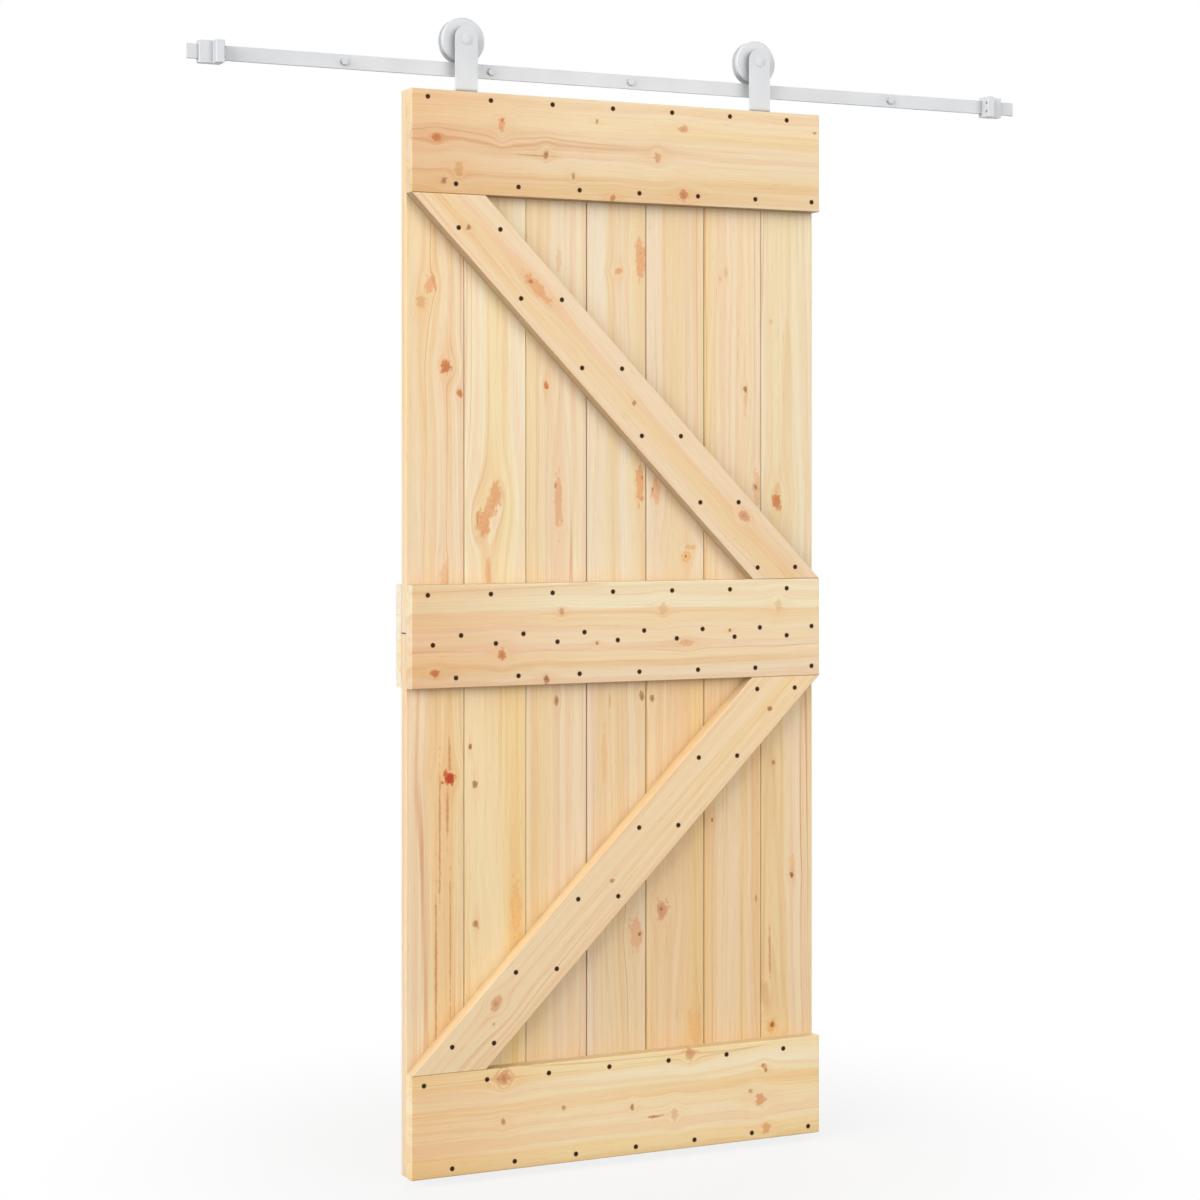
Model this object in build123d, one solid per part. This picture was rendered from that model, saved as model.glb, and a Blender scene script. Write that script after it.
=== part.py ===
from build123d import *
import math
import os

os.makedirs("parts", exist_ok=True)

# Sliding barn door: a ledged and braced leaf of tongue-and-groove boards that hangs
# from a flat wall track on two grooved wheels. Millimetres, +Z up, +X along the track
# to the right, +Y into the wall. The wall's face is Y = 0, and the origin is the
# centre of the middle spacer's back face, at the track's mid-height.

# Door leaf
door_width = 900.0
door_height = 2100.0
door_rest_x = -42.0          # centre of the leaf at rest, from the track's middle
board_count = 7
outer_board_width = 121.0    # the two edge boards; the inner ones share the rest
board_thickness = 25.0
board_joint_gap = 0.4        # open joint between two boards' shoulders
board_bevel = 1.5            # V seam and eased edge, each side
tongue_length = 8.0
tongue_thickness = 7.0
tongue_end_gap = 1.0
tongue_side_gap = 0.2
split_depth = 1050.0         # from the leaf's top down to where upper and lower boards meet
split_gap = 1.0
rail_height = 200.0
rail_thickness = 30.0
rail_edge_round = 2.0
middle_rail_depth = 956.0    # from the leaf's top down to the middle rails' upper edge
brace_width = 110.0          # square across the brace

# Screw holes that hold the rails and braces to the boards
screw_hole = 8.0             # counterbore over the screw's head
screw_sink = 3.0
screw_row_start = 33.5       # first screw of a rail's upper row, from the leaf's left edge
screw_stagger = 58.5         # the next row is set this far along
screw_leaf_edge = 15.0       # rows along the leaf's top and bottom
screw_rail_edge = 19.5       # rows along the rails' other edges
inner_row_upper = 98.5       # middle rail's two inner rows, from its upper edge
inner_row_lower = 116.0
inner_row_shift = 10.5       # their shift along the rail, apart from the last screw
bottom_row_shift = -8.0
brace_screw_pairs = 6
brace_screw_spread = 87.6    # between the two screws of a pair
brace_screw_near = 24.0      # first pair, from the middle rail's edge
brace_screw_far_upper = 65.0  # last pair, from the top rail's edge
brace_screw_far_lower = 50.0  # last pair, from the bottom rail's edge

# Track
track_length = 1840.0
track_height = 28.0
track_thickness = 6.0
track_edge_round = 0.8
bolt_count = 5
bolt_pitch = 305.0
bolt_hole_clearance = 0.5    # radial, in the bar and in the spacer
spacer_length = 40.0
spacer_wall = 2.5

# Lag bolts
bolt_diameter = 8.0
bolt_thread_diameter = 7.0   # mean of crest and root
bolt_grip = 24.0             # length in the wall
bolt_point = 9.0
bolt_head_flats = 13.0
bolt_head_height = 5.5
bolt_head_bevel = 1.1

# Wheels and axles
wheel_root_radius = 42.2
wheel_flange_height = 2.8
wheel_width = 25.0
wheel_track_gap = 0.3
groove_side_gap = 1.0        # each side of the bar at the groove's bottom
groove_flare = 0.8           # how much the groove opens out, each side
wheel_bevel = 2.5            # flanges' outer edges
axle_diameter = 10.0
axle_clearance = 0.05        # radial, wheel on axle
axle_hole_clearance = 0.3    # radial, axle in strap and collar
axle_head_diameter = 22.0
axle_head_height = 2.2
axle_head_rim = 0.8
collar_length = 11.2
collar_wall = 3.7
wheel_side_gap = 0.3         # wheel to collar and wheel to nut
nut_flats = 17.0
nut_height = 8.0
axle_tail = 2.0              # axle past the nut

# Hanger straps
strap_width = 46.0
strap_thickness = 6.0
strap_inset = 125.0          # axle from the leaf's side edge
strap_crown = 26.5           # strap's top above the axle
strap_setback = 25.0         # strap's front behind the rails' front
strap_bend = 4.0             # inside radius of the foot's bend
door_drop = 35.0             # from the track's lower edge down to the leaf's top
foot_corner = 6.0
foot_screw_hole = 5.5
foot_screw_pitch = 26.0

# End stops
left_stop_inset = 21.0       # from the track's end
right_stop_inset = 34.5
stop_length = 45.0
stop_height = 42.0
stop_cheek = 7.0             # wall in front of and behind the bar
stop_fit = 0.3               # clearance round the bar
stop_lug_length = 17.0
stop_lug_reach = 17.0        # lug's front ahead of the block's front
stop_edge = 1.5

# Places that several pieces share
track_back_y = -spacer_length
track_front_y = track_back_y - track_thickness
track_mid_y = track_back_y - track_thickness / 2
axle_z = track_height / 2 + wheel_track_gap + wheel_root_radius
wheel_front_y = track_mid_y - wheel_width / 2
wheel_back_y = track_mid_y + wheel_width / 2
strap_back_y = wheel_front_y - wheel_side_gap - collar_length
strap_front_y = strap_back_y - strap_thickness
door_front_y = strap_front_y - strap_setback
board_front_y = door_front_y + rail_thickness
board_back_y = board_front_y + board_thickness
door_top_z = -track_height / 2 - door_drop
door_bottom_z = door_top_z - door_height
door_left_x = door_rest_x - door_width / 2
door_right_x = door_rest_x + door_width / 2
axle_left_x = door_left_x + strap_inset
axle_right_x = door_right_x - strap_inset
inner_board_width = (door_width - 2 * outer_board_width) / (board_count - 2)


def save(node, piece):
    export_step(piece, "parts/" + node + ".step")


def facing(x, y, z):
    """Plane square to the wall's normal: its own x is +X, its y is +Z, its z is out of the wall."""
    return Plane(origin=(x, y, z), x_dir=(1, 0, 0), z_dir=(0, -1, 0))


# Boards

def board_section(width, tongue, groove):
    """Section of a board seen from above: tongue on the right, groove on the left."""
    with BuildSketch() as section:
        Rectangle(width, board_thickness)
        chamfer(section.vertices(), board_bevel)
        if tongue:
            with Locations((width / 2, 0)):
                Rectangle(2 * tongue_length, tongue_thickness)
        if groove:
            depth = tongue_length + tongue_end_gap - board_joint_gap
            with Locations((-width / 2, 0)):
                Rectangle(2 * depth, tongue_thickness + 2 * tongue_side_gap, mode=Mode.SUBTRACT)
    return section.sketch


def boards(name, top_z, bottom_z):
    """One row of boards across the leaf between two heights."""
    left = door_left_x
    for i in range(board_count):
        edge = i == 0 or i == board_count - 1
        cover = outer_board_width if edge else inner_board_width
        x0 = left if i == 0 else left + board_joint_gap / 2
        x1 = left + cover
        x1 = x1 if i == board_count - 1 else x1 - board_joint_gap / 2
        section = board_section(x1 - x0, i < board_count - 1, i > 0)
        board = extrude(section, top_z - bottom_z)
        middle_y = (board_front_y + board_back_y) / 2
        save(name + "_%d" % (i + 1), Pos((x0 + x1) / 2, middle_y, bottom_z) * board)
        left += cover


split_z = door_top_z - split_depth
boards("upper_board", door_top_z, split_z + split_gap / 2)
boards("lower_board", split_z - split_gap / 2, door_bottom_z)


# Rails and braces

def eased(piece, face_y):
    """Rounds the edges of the face that lies at face_y."""
    return fillet(piece.faces().sort_by(lambda f: abs(f.center().Y - face_y))[0].edges(), rail_edge_round)


def drilled(plank, places):
    """Sinks a counterbore into the leaf's front at each place, given as x and z."""
    bore = extrude(Circle(screw_hole / 2), screw_sink)
    return plank - [facing(x, door_front_y + screw_sink, z) * bore for x, z in places]


def screw_row(start, z, shift=0.0):
    """One screw to a board along a rail; the last one keeps off the rail's end."""
    xs = [door_left_x + start + i * inner_board_width for i in range(board_count)]
    return [(x + shift if x < xs[-1] else x, z) for x in xs]


def rail(top_z, front_y, show_y):
    outline = Rectangle(door_width, rail_height, align=(Align.CENTER, Align.MAX))
    plank = extrude(facing(door_rest_x, front_y + rail_thickness, top_z) * outline, rail_thickness)
    return eased(plank, show_y)


def front_rail(top_z, rows):
    return drilled(rail(top_z, door_front_y, door_front_y), sum(rows, []))


middle_rail_z = door_top_z - middle_rail_depth
bottom_rail_z = door_bottom_z + rail_height
row_a = screw_row_start
row_b = screw_row_start + screw_stagger
top_rows = [
    screw_row(row_a, door_top_z - screw_leaf_edge),
    screw_row(row_b, door_top_z - rail_height + screw_rail_edge),
]
middle_rows = [
    screw_row(row_a, middle_rail_z - screw_rail_edge),
    screw_row(row_b, middle_rail_z - inner_row_upper, inner_row_shift),
    screw_row(row_a, middle_rail_z - inner_row_lower, inner_row_shift),
    screw_row(row_b, middle_rail_z - rail_height + screw_rail_edge),
]
bottom_rows = [
    screw_row(row_a + bottom_row_shift, bottom_rail_z - screw_rail_edge),
    screw_row(row_b + bottom_row_shift, door_bottom_z + screw_leaf_edge),
]
save("top_rail", front_rail(door_top_z, top_rows))
save("middle_rail", front_rail(middle_rail_z, middle_rows))
save("bottom_rail", front_rail(bottom_rail_z, bottom_rows))
save("back_middle_rail", rail(middle_rail_z, board_back_y, board_back_y + rail_thickness))


def brace(high_z, low_z, rise, screw_high, screw_low):
    """Slanted plank whose level ends butt on two rails. rise is +1 if it climbs to the right."""
    h = high_z - low_z
    a = h ** 2 - brace_width ** 2
    b = brace_width ** 2 * door_width
    c = brace_width ** 2 * (h ** 2 + door_width ** 2)
    foot = (math.sqrt(b ** 2 + a * c) - b) / a
    lean = rise * (door_width - foot) / 2
    outline = make_face(
        Polyline(
            (-lean - foot / 2, -h / 2),
            (-lean + foot / 2, -h / 2),
            (lean + foot / 2, h / 2),
            (lean - foot / 2, h / 2),
            close=True,
        )
    )
    plane = facing(door_rest_x, board_front_y, (high_z + low_z) / 2)
    plank = eased(extrude(plane * outline, rail_thickness), door_front_y)
    places = []
    for i in range(brace_screw_pairs):
        along = i / (brace_screw_pairs - 1)
        z = (high_z - screw_high) * (1 - along) + (low_z + screw_low) * along
        x = door_rest_x + 2 * lean * (z - (high_z + low_z) / 2) / h
        places += [(x - brace_screw_spread / 2, z), (x + brace_screw_spread / 2, z)]
    return drilled(plank, places)


save(
    "upper_brace",
    brace(door_top_z - rail_height, middle_rail_z, -1, brace_screw_far_upper, brace_screw_near),
)
save(
    "lower_brace",
    brace(middle_rail_z - rail_height, bottom_rail_z, 1, brace_screw_near, brace_screw_far_lower),
)


# Track bar, its spacers and lag bolts

bolt_xs = [(i - (bolt_count - 1) / 2) * bolt_pitch for i in range(bolt_count)]
bolt_hole_radius = bolt_diameter / 2 + bolt_hole_clearance

bar = extrude(facing(0, track_back_y, 0) * Rectangle(track_length, track_height), track_thickness)
bar = fillet(bar.edges().filter_by(Axis.X), track_edge_round)
for x in bolt_xs:
    bar -= extrude(facing(x, track_back_y, 0) * Circle(bolt_hole_radius), track_thickness)
save("track_bar", bar)

spacer = extrude(Circle(bolt_hole_radius + spacer_wall) - Circle(bolt_hole_radius), spacer_length)


def hexagon_head(flats, height, bevel, both=False):
    """Hexagon prism with its corners turned off by a cone, flats above and below."""
    corner = flats / math.sqrt(3)
    prism = extrude(RegularPolygon(corner, 6), height)
    blank = extrude(Circle(corner), height)
    rims = blank.edges().filter_by(GeomType.CIRCLE).sort_by(Axis.Z)
    blank = chamfer(rims if both else rims[-1:], bevel * math.tan(math.radians(30)), bevel)
    return prism & blank


def lag_bolt():
    """Hexagon lag bolt along its own z, the head's seat at 0 and the point below."""
    plain = track_thickness + spacer_length
    with BuildPart() as shank:
        with BuildSketch(Plane.XZ):
            with BuildLine():
                Polyline(
                    (0, 0),
                    (bolt_diameter / 2, 0),
                    (bolt_diameter / 2, -plain),
                    (bolt_thread_diameter / 2, -plain),
                    (bolt_thread_diameter / 2, -plain - bolt_grip + bolt_point),
                    (0, -plain - bolt_grip),
                    close=True,
                )
            make_face()
        revolve(axis=Axis.Z)
    return hexagon_head(bolt_head_flats, bolt_head_height, bolt_head_bevel) + shank.part


bolt = lag_bolt()
for i, x in enumerate(bolt_xs):
    save("wall_spacer_%d" % (i + 1), facing(x, 0, 0) * spacer)
    save("lag_bolt_%d" % (i + 1), facing(x, track_front_y, 0) * bolt)


# End stops

def end_stop(side):
    """Block that slips over the bar, with a lug that stands out at the door's side."""
    inset = right_stop_inset if side > 0 else left_stop_inset
    outer_x = track_length / 2 - inset
    inner_x = outer_x - stop_length
    block_depth = track_thickness + 2 * stop_fit + 2 * stop_cheek
    with BuildPart() as stop:
        with BuildSketch(Plane.XY.offset(-stop_height / 2)):
            with Locations((inner_x, track_mid_y)):
                Rectangle(stop_length, block_depth, align=(Align.MIN, Align.CENTER))
            with Locations((inner_x, track_mid_y)):
                Rectangle(
                    stop_lug_length, block_depth / 2 + stop_lug_reach, align=(Align.MIN, Align.MAX)
                )
        extrude(amount=stop_height)
        chamfer(stop.edges().filter_by(Axis.Z), stop_edge)
        with BuildSketch(Plane.YZ.offset(inner_x)):
            with Locations((track_mid_y, 0)):
                Rectangle(track_thickness + 2 * stop_fit, track_height + 2 * stop_fit)
        extrude(amount=stop_length, mode=Mode.SUBTRACT)
    return stop.part if side > 0 else mirror(stop.part, Plane.YZ)


save("left_end_stop", end_stop(-1))
save("right_end_stop", end_stop(1))


# Hangers: strap, axle, collar, nut and wheel

def strap(x):
    """Flat strap with a round top, bent back at its lower end to a foot on the leaf's top."""
    with BuildPart() as piece:
        crown_z = axle_z + strap_crown - strap_width / 2
        with BuildSketch(facing(x, strap_back_y, crown_z)):
            Circle(strap_width / 2)
            Rectangle(strap_width, crown_z - door_top_z, align=(Align.CENTER, Align.MAX))
            with Locations((0, axle_z - crown_z)):
                Circle(axle_diameter / 2 + axle_hole_clearance, mode=Mode.SUBTRACT)
        extrude(amount=strap_thickness)
        with BuildSketch(Plane.XY.offset(door_top_z)) as foot:
            with Locations((x, strap_front_y)):
                Rectangle(strap_width, board_back_y - strap_front_y, align=(Align.CENTER, Align.MIN))
            fillet(foot.vertices().group_by(Axis.Y)[-1], foot_corner)
            with Locations((x, (strap_back_y + board_back_y) / 2)):
                with GridLocations(foot_screw_pitch, 0, 2, 1):
                    Circle(foot_screw_hole / 2, mode=Mode.SUBTRACT)
        extrude(amount=strap_thickness)

        def nearest(y, z):
            edges = piece.edges().filter_by(Axis.X)
            return edges.sort_by(lambda e: (e.center() - Vector(x, y, z)).length)[:1]

        fillet(nearest(strap_back_y, door_top_z + strap_thickness), strap_bend)
        fillet(nearest(strap_front_y, door_top_z), strap_bend + strap_thickness)
    return piece.part


def axle_bolt():
    """Low domed bolt along its own z, the head's seat at 0 and the tail below."""
    reach = strap_thickness + collar_length + wheel_width + 2 * wheel_side_gap
    reach += nut_height + axle_tail
    head = axle_head_diameter / 2
    dome_height = axle_head_height - axle_head_rim
    dome_radius = (head ** 2 + dome_height ** 2) / (2 * dome_height)
    dome_centre = axle_head_height - dome_radius
    with BuildPart() as piece:
        with BuildSketch(Plane.XZ):
            with BuildLine():
                rim = Polyline(
                    (0, -reach),
                    (axle_diameter / 2, -reach),
                    (axle_diameter / 2, 0),
                    (head, 0),
                    (head, axle_head_rim),
                )
                dome = ThreePointArc(
                    rim @ 1,
                    (head / 2, dome_centre + math.sqrt(dome_radius ** 2 - (head / 2) ** 2)),
                    (0, axle_head_height),
                )
                Line(dome @ 1, (0, -reach))
            make_face()
        revolve(axis=Axis.Z)
    return piece.part


def wheel():
    """Solid wheel about its own z, grooved for the bar, with bevelled flanges and a plain bore."""
    half = wheel_width / 2
    flange = wheel_root_radius + wheel_flange_height
    groove = track_thickness / 2 + groove_side_gap
    with BuildPart() as piece:
        with BuildSketch(Plane.XZ):
            bore = axle_diameter / 2 + axle_clearance
            with Locations((bore, 0)):
                Rectangle(flange - bore, wheel_width, align=(Align.MIN, Align.CENTER))
            with BuildLine():
                Polyline(
                    (wheel_root_radius, -groove),
                    (flange, -groove - groove_flare),
                    (flange, groove + groove_flare),
                    (wheel_root_radius, groove),
                    close=True,
                )
            make_face(mode=Mode.SUBTRACT)
        revolve(axis=Axis.Z)
        faces = piece.faces().filter_by(GeomType.PLANE).sort_by(Axis.Z)
        chamfer([f.outer_wire().edges()[0] for f in (faces[0], faces[-1])], wheel_bevel)
    return piece.part


collar_radius = axle_diameter / 2 + axle_hole_clearance + collar_wall
collar = extrude(Circle(collar_radius) - Circle(axle_diameter / 2 + axle_hole_clearance), collar_length)
nut = hexagon_head(nut_flats, nut_height, bolt_head_bevel, both=True)
nut -= extrude(Circle(axle_diameter / 2), nut_height)
axle = axle_bolt()
roller = wheel()
for side, x in (("left", axle_left_x), ("right", axle_right_x)):
    save(side + "_hanger_strap", strap(x))
    save(side + "_axle_bolt", facing(x, strap_front_y, axle_z) * axle)
    save(side + "_axle_collar", facing(x, strap_back_y + collar_length, axle_z) * collar)
    save(side + "_axle_nut", facing(x, wheel_back_y + wheel_side_gap + nut_height, axle_z) * nut)
    save(side + "_wheel", facing(x, track_mid_y, axle_z) * roller)
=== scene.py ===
# %% [markdown]
# # A sliding pine door on a wall track
# The real door is a leaf of seven upright tongue-and-groove boards, held by three broad rails
# and two slanted braces on its front. It hangs from two grooved wheels that roll on a flat bar.
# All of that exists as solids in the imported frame. This lesson dresses those solids: it gives
# each timber its own grain and knots, paints the steel, and models the small screws.

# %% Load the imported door
import math
import bpy
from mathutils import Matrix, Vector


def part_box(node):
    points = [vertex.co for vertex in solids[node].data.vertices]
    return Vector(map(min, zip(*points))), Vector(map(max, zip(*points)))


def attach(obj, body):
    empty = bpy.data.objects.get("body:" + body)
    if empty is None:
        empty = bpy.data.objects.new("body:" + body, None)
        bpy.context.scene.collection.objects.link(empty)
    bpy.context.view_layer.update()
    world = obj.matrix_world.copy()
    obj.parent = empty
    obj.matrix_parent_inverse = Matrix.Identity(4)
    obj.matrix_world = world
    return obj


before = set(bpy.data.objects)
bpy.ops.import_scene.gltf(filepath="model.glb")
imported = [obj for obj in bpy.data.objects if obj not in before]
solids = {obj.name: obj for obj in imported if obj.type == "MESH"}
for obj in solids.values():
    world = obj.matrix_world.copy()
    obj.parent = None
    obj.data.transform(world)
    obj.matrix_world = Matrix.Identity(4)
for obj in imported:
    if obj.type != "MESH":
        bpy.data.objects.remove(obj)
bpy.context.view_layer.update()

# %% [markdown]
# ## The camera
# The door was photographed from its left, at about chest height, with a long lens, so its
# upright edges stay upright. A level camera keeps them so. To look at the whole leaf without
# tilting, the lens is shifted down, as on a view camera, instead of turning the camera.

# %% Stand the camera
camera_place = (-2.310, -4.815, -0.8058)
camera_turn = math.radians(-25.18)
bpy.ops.object.select_all(action="DESELECT")
bpy.ops.object.camera_add(
    location=camera_place, rotation=(math.radians(90), 0, camera_turn))
camera = bpy.context.object
camera.data.sensor_width = 36
camera.data.lens = 78.81
camera.data.shift_y = -0.0986
bpy.context.scene.camera = camera
bpy.context.scene.view_settings.view_transform = "Standard"
print("camera at", [round(v, 3) for v in camera.location])

# %% [markdown]
# ## Joining nodes in few words
# A finish in Blender is a graph of small nodes. Wiring them one by one takes many lines, so
# these helpers add one node, set its options, feed its inputs in order, and hand back one
# output. A feed is a socket of another node, a plain value, or None to leave it alone.

# %% Node helpers
def put(tree, kind, *feeds, out=0, **options):
    """Adds one node and gives back its output number out."""
    node = tree.nodes.new(kind)
    for option, value in options.items():
        setattr(node, option, value)
    for socket, feed in zip(node.inputs, feeds):
        if isinstance(feed, bpy.types.NodeSocket):
            tree.links.new(feed, socket)
        elif feed is not None:
            socket.default_value = feed
    return node.outputs[out]


def sums(tree, how, *feeds):
    """Arithmetic on numbers."""
    return put(tree, "ShaderNodeMath", *feeds, operation=how)


def vectors(tree, how, *feeds, out=0):
    """Arithmetic on points; the length of one comes from output 1."""
    return put(tree, "ShaderNodeVectorMath", *feeds, operation=how, out=out)


def ease(tree, value, low, high, start=0.0, end=1.0):
    """Goes softly from start to end while value goes from low to high."""
    return put(tree, "ShaderNodeMapRange", value, low, high, start, end,
               interpolation_type="SMOOTHSTEP")


def noise(tree, point, stretch, detail=2.0, rough=0.5):
    """Cloudy noise of about 0 to 1; a larger stretch makes it finer along that axis."""
    spread = vectors(tree, "MULTIPLY", point, stretch)
    return put(tree, "ShaderNodeTexNoise", spread, None, 1.0, detail, rough)


def swing(tree, field, reach):
    """Turns a noise of 0 to 1 into a shift between -reach and reach."""
    return sums(tree, "MULTIPLY_ADD", field, 2 * reach, -reach)


print("node helpers ready")

# %% Colour helpers
def mix(tree, share, first, second, how="MIX"):
    """Blends two colours; a share of 0 is all first, 1 all second."""
    node = tree.nodes.new("ShaderNodeMix")
    node.data_type = "RGBA"
    node.blend_type = how
    for index, feed in ((0, share), (6, first), (7, second)):
        if isinstance(feed, bpy.types.NodeSocket):
            tree.links.new(feed, node.inputs[index])
        else:
            node.inputs[index].default_value = feed
    return node.outputs[2]


def shade(red, green, blue):
    """A colour as a paint chart gives it, 0 to 255, for Blender's linear sockets."""
    parts = [v / 255 for v in (red, green, blue)]
    return [v / 12.92 if v <= 0.04045 else ((v + 0.055) / 1.055) ** 2.4 for v in parts] + [1.0]


def tinted(tree, colour, share, red, green, blue):
    """Multiplies the colour by a tint, by a share that may vary over the surface."""
    return mix(tree, share, colour, mix(tree, 1.0, colour, shade(red, green, blue), "MULTIPLY"))


print("pine cream in linear light:", [round(v, 3) for v in shade(241, 212, 174)[:3]])

# %% [markdown]
# ## Floor and light
# The door stands before plain white. The world shows white to the camera and to reflections,
# and gives the object only a soft, lower light. The floor does the same, but keeps part of its
# own shading near the leaf, so that the shadow stays on it, and it throws little light back up,
# because the undersides of rails and braces are dark. Two broad lamps in front, one to the
# right and one to the left, give soft shadows and light the rails' left ends. A third stands
# behind, for a look at the back. Suns with a wide angle are used, since a near lamp would
# leave the foot of so tall a door darker.

# %% Floor
floor_height = -2.164
floor_radius = 9
near_leaf, far_from_leaf = 0.3, 1.3
thrown_back, floor_pale = (0.2, 0.2, 0.2, 1), (0.88, 0.88, 0.88, 1)


def background_rays(tree):
    """1 for rays that should meet a white background: from the camera, a gloss or glass."""
    path = tree.nodes.new("ShaderNodeLightPath").outputs
    return sums(tree, "MAXIMUM", path["Is Camera Ray"],
                sums(tree, "MAXIMUM", path["Is Glossy Ray"], path["Is Transmission Ray"]))


bpy.ops.object.select_all(action="DESELECT")
bpy.ops.mesh.primitive_circle_add(
    vertices=96, radius=floor_radius, fill_type="NGON", location=(0, 0, floor_height))
floor = bpy.context.object
floor.name = "floor"

floor_white = bpy.data.materials.new("floor_white")
floor_white.use_nodes = True
tree = floor_white.node_tree
paper = tree.nodes["Principled BSDF"]
paper.inputs["Roughness"].default_value = 0.9
paper.inputs["Specular IOR Level"].default_value = 0.1
glow = put(tree, "ShaderNodeEmission", (1, 1, 1, 1), 1.0)
from_middle = vectors(tree, "LENGTH", put(tree, "ShaderNodeTexCoord", out=3), out=1)
fade = ease(tree, from_middle, near_leaf, far_from_leaf, 0.8, 1.0)
seen = background_rays(tree)
tree.links.new(mix(tree, seen, thrown_back, floor_pale), paper.inputs["Base Color"])
shown = put(tree, "ShaderNodeMixShader", sums(tree, "MULTIPLY", fade, seen),
            paper.outputs[0], glow)
tree.links.new(shown, tree.nodes["Material Output"].inputs["Surface"])
floor.data.materials.append(floor_white)

# %% World
level_light, light_from_above = 1.15, 0.05
world = bpy.data.worlds.new("white_studio")
bpy.context.scene.world = world
world.use_nodes = True
tree = world.node_tree
height = put(tree, "ShaderNodeSeparateXYZ", put(tree, "ShaderNodeTexCoord"), out=2)
dome = ease(tree, height, 0.0, 0.7, level_light, light_from_above)
level = put(tree, "ShaderNodeMapRange", background_rays(tree), 0.0, 1.0, dome, 1.0)
sky = tree.nodes["Background"]
sky.inputs["Color"].default_value = (1, 1, 1, 1)
tree.links.new(level, sky.inputs["Strength"])
print("dome of light from", level_light, "at the horizon to", light_from_above, "above")

# %% Lamps
lamp_width = math.radians(50)
lamp_distance = 4


def soft_lamp(name, side, front, above, strength):
    """A broad lamp far away, in the direction given by three shares."""
    bpy.ops.object.select_all(action="DESELECT")
    place = (side * lamp_distance, -front * lamp_distance, above * lamp_distance)
    bpy.ops.object.light_add(type="SUN", location=place)
    lamp = bpy.context.object
    lamp.name = name
    lamp.data.energy = strength
    lamp.data.angle = lamp_width
    lamp.rotation_euler = Vector((-side, front, -above)).to_track_quat("-Z", "Y").to_euler()
    print(name, strength, "from side, front, above:", side, front, above)


soft_lamp("lamp_right", 0.35, 0.9, 0.22, 1.15)
soft_lamp("lamp_left", -0.82, 0.3, 0.32, 2.25)
soft_lamp("lamp_back", 0.5, -0.85, 0.12, 1.7)

# %% [markdown]
# ## Knots
# A knot is a branch that was cut across: a reddish disc with a paler rim, and the grain
# swerves round it like water round a post. That flow has a simple formula: each point is moved
# sideways by its distance from the knot's axis, divided by the square of how far out it lies.
# One small node group does this for one knot. It takes the results of the knot before it, so a
# timber with eight knots is a chain of eight groups, and no picture is needed. Live knots
# are red right across, dead ones are small and brown, and a branch cut lengthwise leaves
# only a peach or amber patch, so each knot has a tint and a fill.

# %% The knot group
def new_group(name, takes, gives):
    """An empty node group with named sockets; gives back its tree, inputs and outputs."""
    group = bpy.data.node_groups.new(name, "ShaderNodeTree")
    for side, sockets in (("INPUT", takes), ("OUTPUT", gives)):
        for label, kind in sockets:
            group.interface.new_socket(
                name=label, in_out=side, socket_type="NodeSocket" + kind)
    return group, group.nodes.new("NodeGroupInput").outputs, \
        group.nodes.new("NodeGroupOutput").inputs


running = [("Sideways", "Float"), ("Knot", "Float"), ("Halo", "Float"), ("Out", "Float"),
           ("Heart", "Color")]
knot_group, given, result = new_group("knot", [
    ("Point", "Vector"), ("Centre", "Vector"), ("Per size", "Vector"), ("Strength", "Float"),
    ("Fill", "Float"), ("Tint", "Color"), ("Ragged", "Float")] + running, running)
tree = knot_group
apart = vectors(tree, "SUBTRACT", given["Point"], given["Centre"])
scaled = vectors(tree, "MULTIPLY", apart, given["Per size"])
away = vectors(tree, "LENGTH", scaled, out=1)
out = sums(tree, "MULTIPLY", away, given["Ragged"])
disc = sums(tree, "MULTIPLY", ease(tree, out, 1.08, 0.72), given["Fill"])
core = ease(tree, out, 0.7, 0.35)
body = sums(tree, "MULTIPLY", sums(tree, "MAXIMUM", disc, core), given["Strength"])
long_out = vectors(tree, "LENGTH", vectors(tree, "MULTIPLY", scaled, (0.3, 0, 1)), out=1)
halo = sums(tree, "MULTIPLY", ease(tree, long_out, 1.9, 0.5),
            sums(tree, "MULTIPLY", given["Strength"], given["Fill"]))

# %% The grain's swerve, and what one knot hands on
square = sums(tree, "MAXIMUM", sums(tree, "POWER", sums(tree, "MULTIPLY", away, 0.7), 2.0), 1.0)
swerve = sums(tree, "DIVIDE", put(tree, "ShaderNodeSeparateXYZ", apart, out=2), square)
swerve = sums(tree, "MULTIPLY", swerve, sums(tree, "SQRT", given["Strength"]))
first = sums(tree, "GREATER_THAN", body, given["Knot"])
for label, feed in (("Sideways", sums(tree, "SUBTRACT", given["Sideways"], swerve)),
                    ("Knot", sums(tree, "MAXIMUM", given["Knot"], body)),
                    ("Halo", sums(tree, "MAXIMUM", given["Halo"], halo)),
                    ("Out", put(tree, "ShaderNodeMapRange", first, 0.0, 1.0, given["Out"], out)),
                    ("Heart", mix(tree, first, given["Heart"], given["Tint"]))):
    tree.links.new(feed, result[label])
print("knot group:", len(knot_group.nodes), "nodes")
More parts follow.
